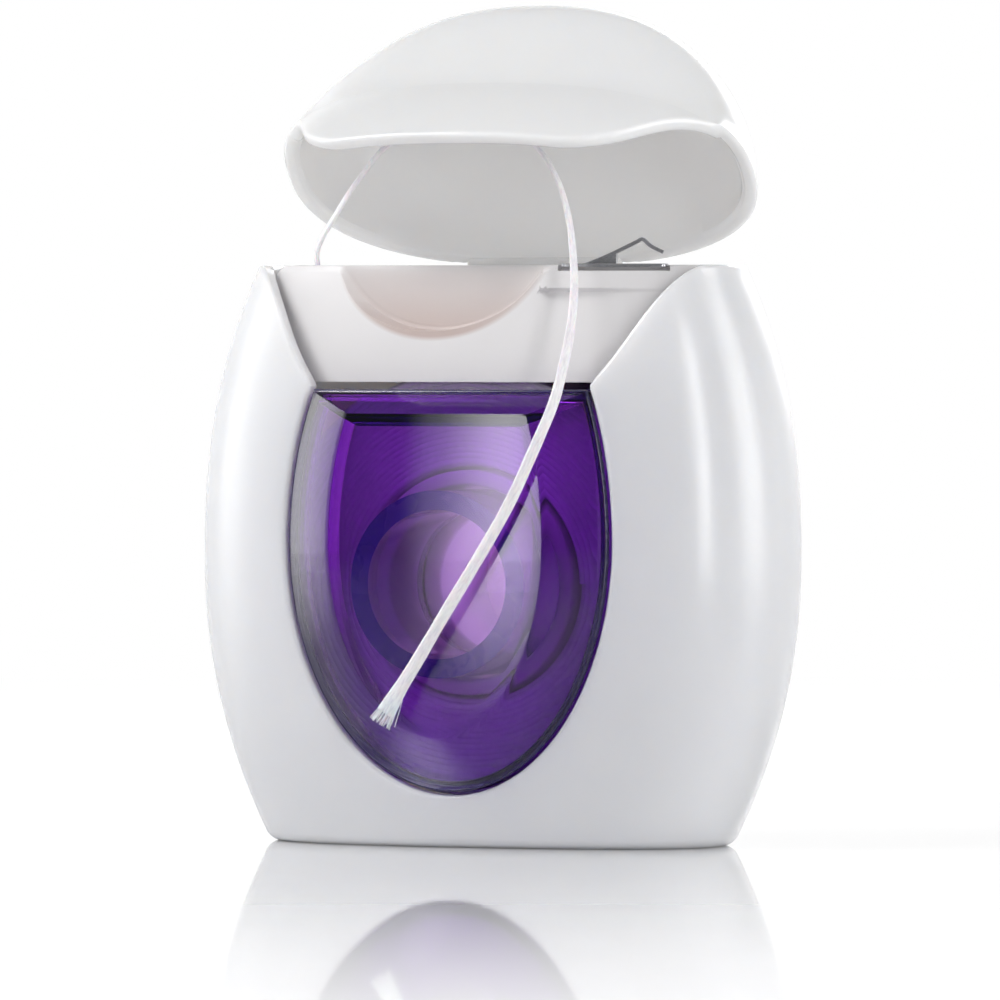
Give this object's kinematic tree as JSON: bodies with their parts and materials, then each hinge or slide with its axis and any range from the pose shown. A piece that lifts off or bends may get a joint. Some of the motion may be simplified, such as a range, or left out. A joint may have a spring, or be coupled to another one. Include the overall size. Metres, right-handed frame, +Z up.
{
  "type": "dental floss dispenser",
  "caption": "Barrel-shaped flip-top dental floss dispenser with a violet window, finger scoop, steel cutter, inner spool and a loose end of floss.",
  "frame": {"origin": "middle of the flat base that the dispenser stands on", "axes": "+Z up, +X to the right as the window is seen, -Y towards the viewer of the window"},
  "size_m": [0.0526, 0.0313, 0.0708],
  "materials": {
    "white_plastic": "gloss",
    "violet_clear": "clear gloss",
    "steel": "stamped",
    "core_plastic": "matte",
    "floss": "waxed"
  },
  "bodies": {
    "case": {"case_shell": "white_plastic", "deck_insert": "white_plastic", "window_cover": "violet_clear", "floss_cutter": "steel", "floss_feed": "floss", "floss_tail": "floss"},
    "lid": {"lid": "white_plastic"},
    "spool": {"bobbin_core": "core_plastic", "floss_winding": "floss"}
  },
  "joints": [
    {"name": "lid_hinge", "type": "hinge", "parent": "case", "child": "lid", "pos_m": [0, 0.00955, 0.04885], "axis": [1, 0, 0], "range_deg": [0, 51], "deforming": ["floss_tail"]},
    {"name": "spool_spin", "type": "hinge", "parent": "case", "child": "spool", "pos_m": [0, 0, 0.0221], "axis": [0, 1, 0], "continuous": true}
  ]
}
